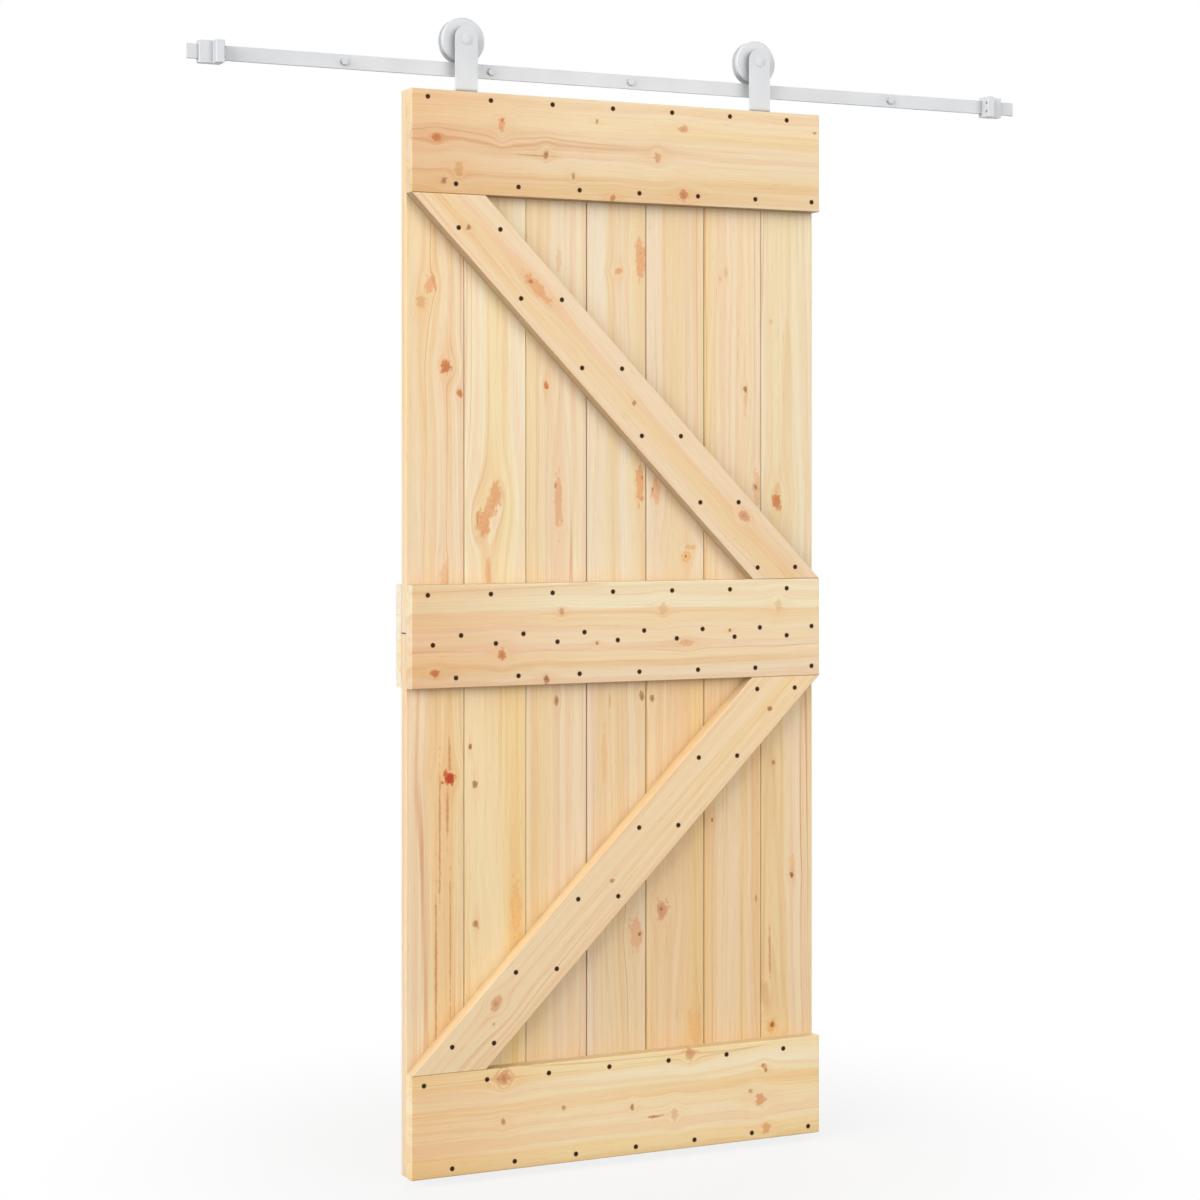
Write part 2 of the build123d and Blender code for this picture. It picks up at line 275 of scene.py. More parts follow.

# %% [markdown]
# ## Pine
# A board is a slice of a cone of year rings. So the graph measures each point's distance from
# the tree's middle, which lies somewhere behind the board, and takes the fraction of a ring:
# pale early wood that darkens slowly to a thin late line. The slight taper of the trunk gives
# the long arches on the face, and the end grain comes out right by itself. Slow noise makes
# the lines wander, stretched noise gives the cream, yellow and pink strips, the middle
# height of another noise gives a few thin brown lines, and very fine noise the fibres. All
# of it swerves round the knots. Faces that look down, and corners near other surfaces, get
# painted shade: their colour is made a little darker. Wood colour pictures would be quicker,
# but they repeat on every board.

# %% The year rings
rings_per_metre = 190.0
trunk_taper = 0.011
pine_group, given, result = new_group("pine", [
    ("Point", "Vector"), ("Seed", "Vector"), ("Middle", "Vector"), ("Tone", "Color"),
    ("Lines", "Float")] + running, [
    ("Colour", "Color"), ("Roughness", "Float"), ("Height", "Float")])
tree = pine_group
moved = vectors(tree, "ADD", given["Point"], given["Seed"])
flow = vectors(tree, "ADD", moved, put(
    tree, "ShaderNodeCombineXYZ", 0.0, 0.0, given["Sideways"]))
wander = swing(tree, noise(tree, moved, (1.2, 5, 8), 0.0), 0.015)
ripple = swing(tree, noise(tree, moved, (3.2, 12, 20), 0.0), 0.0025)
sideways = sums(tree, "ADD", given["Sideways"], sums(tree, "ADD", wander, ripple))
bent = vectors(tree, "ADD", given["Point"], put(
    tree, "ShaderNodeCombineXYZ", 0.0, 0.0, sideways))
from_pith = vectors(tree, "MULTIPLY", vectors(
    tree, "SUBTRACT", bent, given["Middle"]), (0, 1, 1))
radius = vectors(tree, "LENGTH", from_pith, out=1)
along = put(tree, "ShaderNodeSeparateXYZ", bent)
radius = sums(tree, "ADD", radius, sums(tree, "MULTIPLY", along, trunk_taper))
years = sums(tree, "MULTIPLY", radius, rings_per_metre)
uneven = put(tree, "ShaderNodeTexNoise", None, sums(tree, "MULTIPLY", radius, 70.0), 1.0, 1.0,
             noise_dimensions="1D")
years = sums(tree, "ADD", years, sums(tree, "MULTIPLY", uneven, 2.2))
part = sums(tree, "FRACT", years)
late = sums(tree, "MINIMUM", ease(tree, part, 0.4, 0.93), ease(tree, part, 1.0, 0.93))
strong = ease(tree, noise(tree, moved, (0.8, 12, 16)), 0.3, 0.75, 0.15, 1.0)
late = sums(tree, "MULTIPLY", late, sums(tree, "MULTIPLY", strong, given["Lines"]))
print("pine group so far:", len(pine_group.nodes), "nodes for the year rings")

# %% Strips, lines and fibres
broad = ease(tree, noise(tree, flow, (0.35, 12, 17), 3.0), 0.42, 0.6)
narrow = ease(tree, noise(tree, flow, (0.7, 40, 60), 2.0), 0.47, 0.6)
field = sums(tree, "ABSOLUTE", sums(
    tree, "SUBTRACT", noise(tree, flow, (0.3, 8, 24), 1.0), 0.5))
some = ease(tree, noise(tree, flow, (1.3, 20, 45)), 0.42, 0.66)
thin = sums(tree, "MULTIPLY", ease(tree, field, 0.012, 0.002), some)
dash = ease(tree, noise(tree, moved, (26, 260, 620), 1.0), 0.66, 0.76)
fibre = noise(tree, moved, (14, 420, 900), 2.0, 0.6)
colour = given["Tone"]
for share, tint in (
        (broad, (253, 247, 227)),                                            # yellow strips
        (sums(tree, "MULTIPLY", narrow, 0.8), (252, 241, 232)),              # pink strips
        (sums(tree, "MULTIPLY", late, 0.38), (230, 198, 158)),               # late wood
        (sums(tree, "MULTIPLY", thin, given["Lines"]), (226, 172, 124)),     # brown lines
        (sums(tree, "MULTIPLY", dash, 0.3), (220, 196, 166)),                # resin ducts
        (ease(tree, fibre, 0.35, 0.75, 0.0, 0.35), (240, 228, 210)),         # fibres
        (sums(tree, "MULTIPLY", given["Halo"], 0.35), (250, 220, 190))):     # round a knot
    colour = tinted(tree, colour, share, *tint)
print("pine group so far:", len(pine_group.nodes), "nodes with strips and fibres")

# %% Knot colours, and painted shade on undersides and in corners
def painted_shade_under_and_in_corners(tree, colour, under, reach, corner):
    """Paints shade into the colour: darkens faces that look down, and corners where other surfaces
    are within reach. under and corner are each where it starts, where it is full, its share and its
    tint."""
    facing = put(tree, "ShaderNodeSeparateXYZ", put(tree, "ShaderNodeNewGeometry", out=1), out=2)
    start, full, share, tint = under
    colour = tinted(tree, colour, ease(tree, facing, start, full, 0.0, share), *tint)
    open_air = put(tree, "ShaderNodeAmbientOcclusion", None, reach, out=1, samples=6)
    start, full, share, tint = corner
    return tinted(tree, colour, ease(tree, open_air, start, full, 0.0, share), *tint)


spots = swing(tree, noise(tree, moved, (220, 120, 280), 2.0), 0.6)
inner = ease(tree, sums(tree, "ADD", given["Out"], spots), 0.95, 0.4)
rim = mix(tree, 0.4, given["Heart"], tinted(tree, given["Tone"], 1.0, 240, 178, 126))
heart = mix(tree, inner, rim, given["Heart"])
fleck = ease(tree, noise(tree, moved, (320, 160, 380)), 0.52, 0.72, 0.0, 0.6)
colour = mix(tree, given["Knot"], colour, tinted(tree, heart, fleck, 206, 166, 132))
# Painted shade: the wood's colour is darkened on faces that look down and in corners.
colour = painted_shade_under_and_in_corners(tree, colour, (-0.3, -0.65, 0.55, (170, 162, 152)),
                0.05, (1.0, 0.35, 0.46, (206, 203, 200)))
rough = sums(tree, "ADD", ease(tree, fibre, 0.3, 0.8, 0.5, 0.64),
             sums(tree, "MULTIPLY", given["Knot"], -0.08))
height = sums(tree, "ADD", sums(tree, "MULTIPLY", late, -0.5),
              sums(tree, "MULTIPLY", fibre, 0.6))
for label, feed in (("Colour", colour), ("Roughness", rough), ("Height", height)):
    tree.links.new(feed, result[label])
print("pine group:", len(pine_group.nodes), "nodes")

# %% [markdown]
# ## Where the screws sit
# Dark screws hold rails and braces to the boards. Their sinks are in the solids, so the plan
# below only repeats where those are: rows along the rails, a screw for each board, and pairs
# along the braces. A ring of painted shade round each sink, the shade of a wider sink, makes
# each dot a little larger. It could be painted screw by screw, but a row is even, so one
# formula finds the nearest screw of the row by rounding, and measures how far off it is.

# %% The plan of the screws
leaf_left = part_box("top_rail")[0].x
leaf_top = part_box("top_rail")[1].z
board_step = 0.1316
screws_per_row = 7
# Each row: millimetres below the leaf's top, its first screw from the leaf's left edge, and
# how far all but its last screw are shifted to the right.
row_plan = {
    "top_rail": [(15, 33.5, 0), (180.5, 92, 0)],
    "middle_rail": [(975.5, 33.5, 0), (1054.5, 92, 10.5), (1072, 33.5, 10.5), (1136.5, 92, 0)],
    "bottom_rail": [(1919.5, 25.5, 0), (2085, 84, 0)],
}
pairs_per_brace = 6
pair_half = 0.0438
braces_middle = -0.042
# Each brace: its highest and lowest pair, half its spread to the side, the height of its
# middle, and its rise.
brace_plan = {
    "upper_brace": (-0.314, -0.981, -0.37276, -0.627, 0.756),
    "lower_brace": (-1.229, -1.899, 0.3722, -1.577, 0.744),
}


def on_leaf(right, down):
    """X and Z of a place given in millimetres from the leaf's left edge and top."""
    return leaf_left + right / 1000, leaf_top - down / 1000


print("screws in", len(row_plan), "rails and", len(brace_plan), "braces")

# %% Painted shade round the screws
# The ring of painted shade runs between these two distances from each screw's middle.
sink_shade_inner, sink_shade_outer = 0.0046, 0.0055


def gap(tree, first, second):
    """How far two numbers are apart."""
    return sums(tree, "ABSOLUTE", sums(tree, "SUBTRACT", first, second))


def nearest_step(tree, value, first, step):
    """The whole number of steps from first that comes nearest to value."""
    return sums(tree, "ROUND", sums(tree, "DIVIDE", sums(tree, "SUBTRACT", value, first), step))


def from_row(tree, x, z, down, start, shift):
    """Distance from a point to the nearest screw of a row along a rail."""
    first, level = on_leaf(start + shift, down)
    last = on_leaf(start, down)[0] + (screws_per_row - 1) * board_step
    count = sums(tree, "MINIMUM", nearest_step(tree, x, first, board_step), screws_per_row - 2.0)
    side = gap(tree, x, sums(tree, "MULTIPLY_ADD", count, board_step, first))
    side = sums(tree, "MINIMUM", side, gap(tree, x, last))
    off = put(tree, "ShaderNodeCombineXYZ", side, 0.0, sums(tree, "SUBTRACT", z, level))
    return vectors(tree, "LENGTH", off, out=1)


def from_pair(tree, x, z, high, low, lean, mid_z, rise):
    """Distance from a point to the nearest screw of the pairs along a brace."""
    step = (low - high) / (pairs_per_brace - 1)
    level = sums(tree, "MULTIPLY_ADD", nearest_step(tree, z, high, step), step, high)
    middle = sums(tree, "MULTIPLY_ADD", sums(tree, "SUBTRACT", level, mid_z),
                  2 * lean / rise, braces_middle)
    side = sums(tree, "SUBTRACT", gap(tree, x, middle), pair_half)
    off = put(tree, "ShaderNodeCombineXYZ", side, 0.0, sums(tree, "SUBTRACT", z, level))
    return vectors(tree, "LENGTH", off, out=1)


def painted_sink_shade(tree, place, timber):
    """1 on the ring of painted shade round each screw's sink, 0 away from it."""
    x = put(tree, "ShaderNodeSeparateXYZ", place)
    z = put(tree, "ShaderNodeSeparateXYZ", place, out=2)
    away = 1.0
    for row in row_plan.get(timber, ()):
        away = sums(tree, "MINIMUM", from_row(tree, x, z, *row), away)
    if timber in brace_plan:
        away = from_pair(tree, x, z, *brace_plan[timber])
    return ease(tree, away, sink_shade_outer, sink_shade_inner)


print("sink_shade", round(1000 * sink_shade_outer, 1), "mm round the middle of each screw")

# %% [markdown]
# ## One finish per timber
# No two timbers look alike, so each gets its own finish from the two groups: its tone, the
# way its grain runs, where the tree's middle lies, and its knots. The knots are written as
# a joiner would measure them: millimetres from the leaf's left edge and top, length along the
# grain, breadth, how strong, and the kind. Over that come the marks of the joinery: painted
# shade in the open joints, glued strips of another tint, and the more amber left ends of the rails.
# Object coordinates are used, since the solids sit at the origin.

# %% A chain of knots
knot_kinds = {
    "red": ((204, 120, 58), 1.0), "ember": ((194, 62, 18), 1.0), "rust": ((198, 114, 60), 0.9),
    "umber": ((152, 90, 26), 0.85), "brown": ((154, 96, 28), 0.82),
    "peach": ((226, 152, 94), 1.0), "amber": ((240, 178, 92), 1.0),
    "dull": ((220, 166, 104), 1.0)}


def wired_group(tree, group, fixed, linked):
    """Adds a node group, sets its fixed values and links its other inputs."""
    node = tree.nodes.new("ShaderNodeGroup")
    node.node_tree = group
    for label, value in fixed.items():
        node.inputs[label].default_value = value
    for label, socket in linked.items():
        tree.links.new(socket, node.inputs[label])
    return node.outputs


def knot_chain(tree, point, slope, knots):
    """One knot group for each knot, fed by the one before. Gives back the values and the
    sockets that the pine group takes over."""
    fixed = {"Sideways": 0.0, "Knot": 0.0, "Halo": 0.0, "Out": 9.0, "Heart": shade(200, 120, 76)}
    linked = {"Point": point}
    ragged = ease(tree, noise(tree, point, (70, 40, 120), 3.0, 0.7), 0.25, 0.75, 0.6, 1.5)
    for right, down, length, breadth, strength, kind in knots:
        x, z = on_leaf(right, down)
        tint, fill = knot_kinds[kind]
        fixed.update({
            "Centre": (x * math.cos(slope) + z * math.sin(slope), 0,
                       z * math.cos(slope) - x * math.sin(slope)),
            "Per size": (2000 / length, 0, 2000 / breadth),
            "Strength": strength, "Tint": shade(*tint), "Fill": fill})
        outputs = wired_group(tree, knot_group, fixed, dict(linked, Ragged=ragged))
        linked.update({label: outputs[label] for label, _ in running})
        fixed = {}
    return fixed, linked


print(len(knot_kinds), "kinds of knot:", ", ".join(knot_kinds))

# %% Marks of the joinery
joint_shade_brown = (92, 58, 30)
strip_fade = 0.008


def painted_joint_shade(tree, place, colour, joints):
    """Lines of painted shade where timbers meet. Each joint is an axis, 0 for X or 2 for Z, a place
    on it, half the line's width, and how dark it is."""
    for axis, edge, half, dark in joints:
        near = sums(tree, "COMPARE", put(
            tree, "ShaderNodeSeparateXYZ", place, out=axis), edge, half)
        colour = mix(tree, sums(tree, "MULTIPLY", near, dark), colour, shade(*joint_shade_brown))
    return colour


def glued_strips(tree, place, colour, strips):
    """Another tint below a wavy line, so many millimetres under the leaf's top."""
    for down, tint in strips:
        level = sums(tree, "ADD", put(tree, "ShaderNodeSeparateXYZ", place, out=2),
                     swing(tree, noise(tree, place, (2, 5, 9)), 0.01))
        edge = on_leaf(0, down)[1]
        colour = tinted(tree, colour, ease(tree, level, edge, edge - strip_fade), *tint)
    return colour


def amber_end(tree, place, colour, left, share):
    """More amber towards the left end, but not on the sawn end itself."""
    side = put(tree, "ShaderNodeSeparateXYZ", put(tree, "ShaderNodeNewGeometry", out=1))
    near = ease(tree, put(tree, "ShaderNodeSeparateXYZ", place), left - 0.05, left + 0.42, 1.0, 0.0)
    amber = sums(tree, "MULTIPLY", ease(tree, side, -0.7, -0.3, 0.0, share), near)
    return tinted(tree, colour, amber, 248, 230, 214)


print("marks of the joinery: joints, strips and amber ends")

# %% The pine finish
def pine(name, tone, turn, seed, knots=(), middle=(0.03, 0.0), lines=0.4, joints=(), strips=(),
         ripe=0.0):
    """Pine finish for one timber. turn is the grain's angle in degrees, 90 for upright;
    middle says how far behind the timber and how far aside the tree's middle lies; lines is
    how strong its rings are, and ripe how much more amber its left end is."""
    finish = bpy.data.materials.new("pine_" + name)
    finish.use_nodes = True
    tree = finish.node_tree
    slope = math.radians(turn)
    place = put(tree, "ShaderNodeTexCoord", out=3)
    point = put(tree, "ShaderNodeMapping", place, (0, 0, 0), (0, slope, 0))
    lo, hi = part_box(name)
    mid = (lo + hi) / 2
    across = mid.z * math.cos(slope) - mid.x * math.sin(slope)
    fixed, linked = knot_chain(tree, point, slope, knots)
    fixed.update({"Seed": (seed * 3.71, seed * 1.37, seed * 2.23), "Tone": shade(*tone),
                  "Middle": (0, lo.y - middle[0], across + middle[1]), "Lines": lines})
    outputs = wired_group(tree, pine_group, fixed, linked)
    # Painted shade: dark lines along the open joints are mixed into the colour.
    colour = painted_joint_shade(tree, place, outputs["Colour"], joints)
    colour = glued_strips(tree, place, colour, strips)
    if ripe:
        colour = amber_end(tree, place, colour, lo.x, ripe)
    if name in row_plan or name in brace_plan:
        # Painted shade: a dark ring round each screw's sink is mixed into the wood's colour.
        sink_shade = sums(tree, "MULTIPLY", painted_sink_shade(tree, place, name), 0.85)
        colour = mix(tree, sink_shade, colour, shade(60, 36, 20))
    wood = tree.nodes["Principled BSDF"]
    wood.inputs["Specular IOR Level"].default_value = 0.3
    tree.links.new(colour, wood.inputs["Base Color"])
    tree.links.new(outputs["Roughness"], wood.inputs["Roughness"])
    bump = tree.nodes.new("ShaderNodeBump")
    bump.inputs["Strength"].default_value = 0.25
    bump.inputs["Distance"].default_value = 0.0004
    tree.links.new(outputs["Height"], bump.inputs["Height"])
    tree.links.new(bump.outputs["Normal"], wood.inputs["Normal"])
    solids[name].data.materials.clear()
    solids[name].data.materials.append(finish)
    print(name, "pine with", len(knots), "knots")


# %% [markdown]
# ## The rails
# The three front rails and the one behind run level, so their grain does too. Each front rail
# is glued up from strips of slightly different tint, and is a little more amber at its left
# end. The back shows one middle rail, with a few knots of its own.

# %% Dress the rails
pine("top_rail", (239, 217, 180), 0, 1, [
    (188, 60, 14, 30, 0.65, "peach"), (189, 52, 8, 9, 0.95, "rust"),
    (50, 93, 24, 17, 0.85, "red"), (98, 150, 20, 28, 0.59, "dull"),
    (67, 176, 12, 17, 0.8, "brown"), (283, 114, 14, 21, 0.8, "brown"),
    (255, 117, 110, 4, 0.45, "brown"), (342, 154, 9, 15, 0.65, "brown"),
    (527, 108, 16, 24, 0.55, "red"), (586, 47, 28, 15, 0.6, "rust"),
    (393, 42, 8, 10, 0.65, "brown"), (585, 180, 22, 23, 0.85, "rust"),
    (428, 192, 14, 14, 0.8, "red"), (889, 38, 10, 7, 0.7, "brown")],
    middle=(0.05, 0.03), strips=[(60, (251, 250, 251)), (150, (252, 249, 246))], ripe=1.0)
pine("middle_rail", (246, 237, 218), 0, 2, [
    (540, 1010, 20, 26, 0.39, "dull"), (803, 1010, 18, 28, 0.39, "dull"),
    (316, 1013, 13, 15, 0.56, "rust"), (189, 1095, 17, 24, 0.81, "rust"),
    (49, 1128, 22, 16, 0.85, "red"), (592, 1082, 32, 17, 0.45, "dull"),
    (592, 1079, 7, 7, 0.5, "brown"), (691, 1058, 10, 10, 0.85, "brown"),
    (393, 1077, 9, 10, 0.7, "brown"), (283, 1144, 13, 19, 0.85, "umber")],
    middle=(0.06, -0.02), strips=[(1012, (253, 238, 223)), (1110, (250, 250, 248))], ripe=1.0)
pine("bottom_rail", (255, 237, 201), 0, 3, [
    (600, 1911, 26, 26, 0.55, "rust"), (192, 1920, 32, 30, 0.6, "rust"),
    (193, 1921, 11, 15, 0.8, "red"), (768, 1951, 8, 10, 0.75, "red"),
    (774, 1959, 9, 15, 0.8, "rust"), (321, 1991, 9, 11, 0.65, "brown"),
    (471, 2004, 9, 15, 0.8, "umber"), (191, 2005, 11, 17, 0.65, "brown"),
    (762, 2018, 24, 30, 0.7, "peach"), (760, 2014, 8, 14, 0.7, "red"),
    (738, 1999, 10, 11, 0.6, "brown"), (565, 2029, 15, 28, 0.45, "dull"),
    (520, 2029, 36, 6, 0.75, "rust"), (776, 2078, 22, 20, 0.6, "peach")],
    middle=(0.04, 0.04), strips=[(1965, (255, 249, 241))], ripe=0.85)
pine("back_middle_rail", (246, 237, 218), 0, 4, [
    (140, 1040, 22, 22, 0.75, "rust"), (420, 1100, 24, 18, 0.8, "red"),
    (700, 1020, 18, 24, 0.56, "peach"), (610, 1130, 12, 12, 0.8, "brown")],
    middle=(0.05, 0.02))

# %% [markdown]
# ## The braces
# The braces run aslant between the rails, and their grain follows the slope. A turn of the
# coordinates by the brace's own angle does it.

# %% Dress the braces
upper_turn = -45.4
lower_turn = 44.9
pine("upper_brace", (240, 214, 179), upper_turn, 5, [
    (118, 264, 12, 12, 0.85, "umber"), (262, 376, 84, 24, 0.63, "peach"),
    (250, 364, 13, 9, 0.94, "rust"), (475, 600, 10, 10, 0.7, "brown"),
    (724, 827, 28, 26, 0.62, "rust"), (724, 826, 9, 9, 0.75, "red")],
    middle=(0.05, 0.01), lines=0.3)
pine("lower_brace", (246, 220, 180), lower_turn, 6, [
    (784, 1221, 13, 12, 0.9, "umber"), (426, 1551, 12, 9, 0.7, "brown"),
    (176, 1774, 32, 28, 0.56, "rust"), (176, 1774, 10, 9, 0.8, "red"),
    (171, 1813, 7, 7, 0.5, "brown")],
    middle=(0.05, -0.02), lines=0.3)

# %% [markdown]
# ## The boards
# Seven boards stand side by side in two tiers that meet behind the middle rail. Each has its
# own place in a tree, so neighbours never continue each other's lines, and its own strength
# of rings. The joints between them are open by a hair, some more than others, so each gets a
# line of painted shade of its own darkness, and so does the joint between the tiers.

# %% The upper boards' tones and knots
upper_boards = {
    1: ((243, 221, 190), [
        (49, 375, 32, 22, 0.63, "peach"), (31, 409, 26, 18, 0.65, "dull"),
        (83, 533, 32, 24, 0.95, "red"), (112, 585, 19, 14, 0.95, "red"),
        (80, 940, 60, 20, 0.35, "peach")]),
    2: ((245, 230, 199), [
        (188, 786, 54, 26, 0.7, "peach"), (194, 779, 15, 7, 0.6, "brown"),
        (176, 808, 52, 28, 0.63, "peach"), (162, 838, 58, 30, 0.7, "peach"),
        (150, 830, 42, 9, 0.69, "rust"), (158, 826, 13, 9, 0.6, "brown"),
        (172, 933, 64, 16, 0.49, "peach")]),
    3: ((241, 222, 190), [
        (323, 318, 46, 11, 0.33, "dull"), (296, 567, 18, 12, 0.95, "red"),
        (323, 795, 124, 20, 0.56, "peach"), (317, 765, 19, 9, 0.6, "brown")]),
    4: ((240, 223, 195), [
        (455, 335, 15, 20, 0.7, "peach"), (504, 310, 94, 24, 0.7, "peach"),
        (503, 298, 9, 6, 0.75, "rust"), (504, 312, 9, 6, 0.75, "rust"),
        (503, 762, 88, 22, 0.7, "peach"), (505, 790, 13, 13, 0.7, "red"),
        (507, 748, 13, 7, 0.88, "rust")]),
    5: ((239, 218, 188), [
        (538, 775, 64, 20, 0.56, "peach"), (531, 772, 15, 7, 0.7, "umber"),
        (607, 908, 28, 22, 0.72, "amber"), (606, 908, 10, 8, 0.9, "brown"),
        (614, 890, 11, 24, 0.52, "dull")]),
    6: ((241, 219, 185), [
        (698, 330, 17, 9, 0.45, "dull"), (684, 342, 11, 9, 0.39, "dull"),
        (743, 568, 17, 10, 0.95, "brown"), (743, 590, 64, 9, 0.35, "peach"),
        (770, 772, 74, 22, 0.45, "dull"), (767, 768, 17, 8, 0.8, "brown")]),
    7: ((239, 223, 189), [
        (803, 427, 11, 9, 0.45, "dull"), (817, 797, 34, 24, 0.9, "red"),
        (817, 772, 24, 18, 0.45, "dull")]),
}
print("upper boards:", sum(len(knots) for _, knots in upper_boards.values()), "knots")

# %% The lower boards' tones and knots
lower_boards = {
    1: ((246, 222, 186), [
        (89, 1333, 30, 26, 1.0, "ember"), (90, 1290, 90, 6, 0.6, "rust"),
        (86, 1400, 130, 7, 0.6, "rust"), (70, 1440, 330, 5, 0.6, "rust"),
        (62, 1720, 380, 5, 0.65, "rust"), (92, 1640, 300, 4, 0.5, "rust")]),
    2: ((247, 223, 177), [
        (134, 1275, 13, 9, 1.0, "brown"), (144, 1348, 19, 13, 0.8, "brown"),
        (146, 1620, 19, 14, 0.75, "brown"), (232, 1600, 116, 24, 0.45, "amber")]),
    3: ((243, 219, 184), [
        (318, 1190, 19, 10, 0.75, "brown")]),
    4: ((241, 219, 188), [
        (507, 1190, 21, 13, 0.8, "brown"), (435, 1196, 32, 6, 0.52, "dull"),
        (494, 1668, 74, 28, 0.49, "peach"), (501, 1667, 10, 8, 0.95, "brown"),
        (423, 1303, 126, 11, 0.39, "amber")]),
    5: ((242, 213, 170), [
        (530, 1193, 17, 10, 0.8, "brown"), (551, 1622, 46, 28, 0.62, "rust"),
        (550, 1619, 11, 8, 0.9, "brown"), (626, 1862, 74, 28, 0.39, "amber")]),
    6: ((243, 215, 175), [
        (666, 1446, 13, 9, 0.75, "brown"), (768, 1612, 23, 7, 0.5, "brown")]),
    7: ((243, 219, 182), [
        (809, 1335, 13, 8, 0.75, "brown"), (852, 1570, 15, 11, 1.0, "brown"),
        (853, 1548, 64, 11, 0.39, "amber"), (788, 1812, 64, 20, 0.45, "dull"),
        (805, 1876, 28, 26, 0.72, "amber"), (806, 1875, 16, 13, 0.95, "umber"),
        (800, 1725, 130, 6, 0.56, "rust")]),
}
print("lower boards:", sum(len(knots) for _, knots in lower_boards.values()), "knots")

# %% Dress the boards
edge_board = 0.121
# How dark the painted shade is in each of the six joints between boards.
joint_shade_darks = (0.2, 0.1, 0.5, 0.34, 0.3, 0.18)
seams = [(0, leaf_left + edge_board + board_step * k, 0.0016, dark)
         for k, dark in enumerate(joint_shade_darks)]
tiers_meet = (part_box("upper_board_1")[0].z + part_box("lower_board_1")[1].z) / 2
butt = (2, tiers_meet, 0.0015, 0.8)
upper_lines = (0.6, 0.35, 0.7, 0.4, 0.4, 0.6, 0.5)
lower_lines = (0.95, 0.45, 0.5, 0.6, 0.7, 0.65, 0.75)
for tier, boards, lines, first_seed in (("upper", upper_boards, upper_lines, 10),
                                        ("lower", lower_boards, lower_lines, 20)):
    for number, (tone, knots) in boards.items():
        seed = first_seed + number
        aside = 0.035 * math.sin(2.4 * seed)
        pine(f"{tier}_board_{number}", tone, 90, seed, knots, (0.03 + 0.006 * number, aside),
             lines[number - 1], seams[max(number - 2, 0):number] + [butt])

# %% [markdown]
# ## Painted steel
# The bar, stops, straps and wheels carry one pale grey powder coat. Powder melts into a skin
# with a very fine, soft ripple, so the finish is a light grey with a small bump and a slight
# change of gloss. Undersides and corners get painted shade, a little darker, as on the wood.
# A mirror-like metal would be wrong here: the paint hides the steel.

# %% The powder coat
def powder_coat(name, tone, ripple=0.12):
    """Pale paint with a faint cloud in its tone and a fine ripple."""
    finish = bpy.data.materials.new(name)
    finish.use_nodes = True
    tree = finish.node_tree
    spot = put(tree, "ShaderNodeTexCoord", out=3)
    fine = noise(tree, spot, (900, 900, 900), 2.0)
    cloud = noise(tree, spot, (14, 14, 14), 3.0)
    cloudy = [0.94 * v for v in shade(*tone)[:3]] + [1.0]
    colour = mix(tree, ease(tree, cloud, 0.3, 0.7), shade(*tone), cloudy)
    # Painted shade: the coat's colour is darkened on faces that look down and in corners.
    colour = painted_shade_under_and_in_corners(tree, colour, (-0.3, -0.75, 0.7, (134, 138, 143)),
                    0.02, (0.9, 0.3, 0.45, (164, 167, 171)))
    paint = tree.nodes["Principled BSDF"]
    paint.inputs["Specular IOR Level"].default_value = 0.4
    tree.links.new(colour, paint.inputs["Base Color"])
    tree.links.new(ease(tree, fine, 0.3, 0.7, 0.38, 0.5), paint.inputs["Roughness"])
    bump = tree.nodes.new("ShaderNodeBump")
    bump.inputs["Strength"].default_value = ripple
    bump.inputs["Distance"].default_value = 0.0003
    tree.links.new(fine, bump.inputs["Height"])
    tree.links.new(bump.outputs["Normal"], paint.inputs["Normal"])
    return finish


def dress(finish, *names):
    """Puts one finish on the named solids."""
    for name in names:
        solids[name].data.materials.clear()
        solids[name].data.materials.append(finish)
    print(finish.name, "on", ", ".join(names))


grey_coat = powder_coat("grey_powder_coat", (214, 216, 218))
dress(grey_coat, "track_bar", "left_end_stop", "right_end_stop", "left_hanger_strap",
      "right_hanger_strap", "left_wheel", "right_wheel", "left_axle_bolt", "right_axle_bolt")
fastener_coat = powder_coat("grey_fastener_coat", (210, 212, 214), 0.08)
dress(fastener_coat, *[n for n in sorted(solids) if n.startswith(
    ("wall_spacer", "lag_bolt")) or n.endswith(("collar", "nut"))])

# %% [markdown]
# ## The screws in rails and braces
# Each dark screw sits in its own round sink, a little below the wood, and shows as a dark dot
# with a cross recess. One head is modelled: a short cylinder whose front is inset and pushed
# in, cut by two crossed bars. Then it is copied to every sink, each copy with its own mesh
# and turned a little, because no two screws stop at the same angle. The copies of one timber
# are joined to one piece.

# %% Dark screw finish
blackened = bpy.data.materials.new("blackened_screw")
blackened.use_nodes = True
tree = blackened.node_tree
skin = tree.nodes["Principled BSDF"]
skin.inputs["Specular IOR Level"].default_value = 0.05
patch = noise(tree, put(tree, "ShaderNodeTexCoord", out=3), (700, 700, 700), 2.0)
tree.links.new(mix(tree, patch, shade(58, 32, 16), shade(84, 50, 28)), skin.inputs["Base Color"])
tree.links.new(ease(tree, patch, 0.3, 0.7, 0.7, 0.85), skin.inputs["Roughness"])
print("finish", blackened.name, "with", len(tree.nodes), "nodes")

# %% Tools for the screw heads
def only(piece):
    """Selects one piece alone and makes it the active one."""
    bpy.ops.object.select_all(action="DESELECT")
    piece.select_set(True)
    bpy.context.view_layer.objects.active = piece
    return piece


def pick_faces(piece, wanted):
    """In edit mode, selects the faces for which wanted(face) is true."""
    bpy.ops.mesh.select_mode(type="FACE")
    bpy.ops.mesh.select_all(action="DESELECT")
    bpy.ops.object.mode_set(mode="OBJECT")
    for face in piece.data.polygons:
        face.select = wanted(face)
    bpy.ops.object.mode_set(mode="EDIT")


